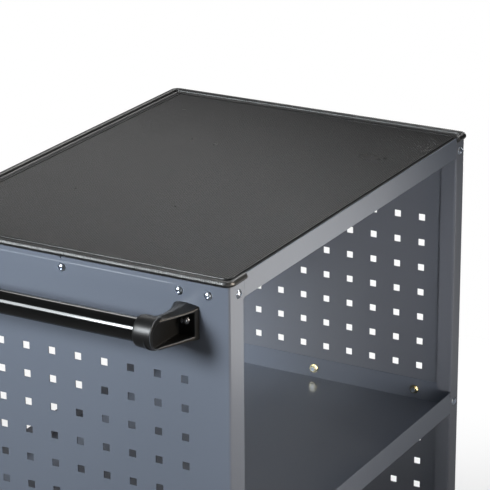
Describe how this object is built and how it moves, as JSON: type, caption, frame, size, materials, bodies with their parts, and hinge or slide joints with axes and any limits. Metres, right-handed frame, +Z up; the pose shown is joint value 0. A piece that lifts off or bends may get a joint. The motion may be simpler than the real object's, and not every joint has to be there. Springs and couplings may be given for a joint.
{
  "type": "service cart",
  "caption": "Service cart: ribbed rubber top, perforated sheet-metal ends, open tray shelves, tubular push handle, swivel and fixed casters.",
  "frame": {"origin": "on the floor under the middle of the whole object's box", "axes": "+Z up, +X along the long side away from the handle, -Y towards the open front"},
  "size_m": [0.7478, 0.4768, 0.8845],
  "materials": {
    "body_paint": "blue-grey powder coat, satin, fine orange peel",
    "mat_rubber": "black moulded rubber, fine ribs",
    "handle_black": "gloss black coated steel tube",
    "bracket_plastic": "black glass-filled nylon, fine grain",
    "zinc_bright": "bright zinc plate",
    "zinc_yellow": "yellow passivated zinc plate",
    "caster_steel": "zinc-plated pressed steel",
    "wheel_core": "grey moulded polyamide",
    "tyre": "dark rubber tread",
    "pedal_plastic": "black moulded nylon"
  },
  "bodies": {
    "cart": {"left_side_panel": "body_paint", "right_side_panel": "body_paint", "top_tray": "body_paint", "front_rail": "body_paint", "rear_rail": "body_paint", "middle_shelf": "body_paint", "bottom_shelf": "body_paint", "left_underframe_plate": "body_paint", "right_underframe_plate": "body_paint", "top_mat": "mat_rubber", "tray_screws": "zinc_bright", "shelf_screws": "zinc_bright", "post_screws": "zinc_bright", "handle_screws": "zinc_bright", "caster_bolts": "zinc_bright", "tray_nuts": "zinc_yellow", "shelf_nuts": "zinc_yellow", "post_nuts": "zinc_yellow", "handle_nuts": "zinc_bright", "caster_nuts": "zinc_bright", "handle_bracket_front": "bracket_plastic", "handle_bracket_rear": "bracket_plastic", "handle_tube": "handle_black", "front_swivel_plate": "caster_steel", "front_swivel_race": "caster_steel", "front_swivel_kingpin": "caster_steel", "rear_swivel_plate": "caster_steel", "rear_swivel_race": "caster_steel", "rear_swivel_kingpin": "caster_steel", "front_fixed_bracket": "caster_steel", "front_fixed_axle_bolt": "zinc_bright", "front_fixed_axle_nut": "zinc_bright", "front_fixed_axle_tube": "zinc_bright", "rear_fixed_bracket": "caster_steel", "rear_fixed_axle_bolt": "zinc_bright", "rear_fixed_axle_nut": "zinc_bright", "rear_fixed_axle_tube": "zinc_bright"},
    "front_caster_fork": {"front_swivel_fork": "caster_steel", "front_swivel_axle_bolt": "zinc_bright", "front_swivel_axle_nut": "zinc_bright", "front_swivel_axle_tube": "zinc_bright", "front_swivel_pedal_pin": "zinc_bright"},
    "front_caster_wheel": {"front_swivel_wheel": "wheel_core", "front_swivel_tyre": "tyre"},
    "front_brake_pedal": {"front_swivel_brake_pedal": "pedal_plastic"},
    "rear_caster_fork": {"rear_swivel_fork": "caster_steel", "rear_swivel_axle_bolt": "zinc_bright", "rear_swivel_axle_nut": "zinc_bright", "rear_swivel_axle_tube": "zinc_bright", "rear_swivel_pedal_pin": "zinc_bright"},
    "rear_caster_wheel": {"rear_swivel_wheel": "wheel_core", "rear_swivel_tyre": "tyre"},
    "rear_brake_pedal": {"rear_swivel_brake_pedal": "pedal_plastic"},
    "front_fixed_caster_wheel": {"front_fixed_wheel": "wheel_core", "front_fixed_tyre": "tyre"},
    "rear_fixed_caster_wheel": {"rear_fixed_wheel": "wheel_core", "rear_fixed_tyre": "tyre"}
  },
  "joints": [
    {"name": "front_caster_swivel", "type": "hinge", "parent": "cart", "child": "front_caster_fork", "pos_m": [-0.21995, -0.1655, 0.15], "axis": [0, 0, 1], "continuous": true},
    {"name": "front_caster_wheel_spin", "type": "hinge", "parent": "front_caster_fork", "child": "front_caster_wheel", "pos_m": [-0.25795, -0.1655, 0.0625], "axis": [0, 1, 0], "continuous": true},
    {"name": "front_brake_pedal_press", "type": "hinge", "parent": "front_caster_fork", "child": "front_brake_pedal", "pos_m": [-0.23795, -0.1655, 0.1375], "axis": [0, -1, 0], "range_deg": [0, 8]},
    {"name": "rear_caster_swivel", "type": "hinge", "parent": "cart", "child": "rear_caster_fork", "pos_m": [-0.21995, 0.1655, 0.15], "axis": [0, 0, 1], "continuous": true},
    {"name": "rear_caster_wheel_spin", "type": "hinge", "parent": "rear_caster_fork", "child": "rear_caster_wheel", "pos_m": [-0.25795, 0.1655, 0.0625], "axis": [0, 1, 0], "continuous": true},
    {"name": "rear_brake_pedal_press", "type": "hinge", "parent": "rear_caster_fork", "child": "rear_brake_pedal", "pos_m": [-0.23795, 0.1655, 0.1375], "axis": [0, -1, 0], "range_deg": [0, 8]},
    {"name": "front_fixed_wheel_spin", "type": "hinge", "parent": "cart", "child": "front_fixed_caster_wheel", "pos_m": [0.29305, -0.1655, 0.0625], "axis": [0, 1, 0], "continuous": true},
    {"name": "rear_fixed_wheel_spin", "type": "hinge", "parent": "cart", "child": "rear_fixed_caster_wheel", "pos_m": [0.29305, 0.1655, 0.0625], "axis": [0, 1, 0], "continuous": true}
  ]
}
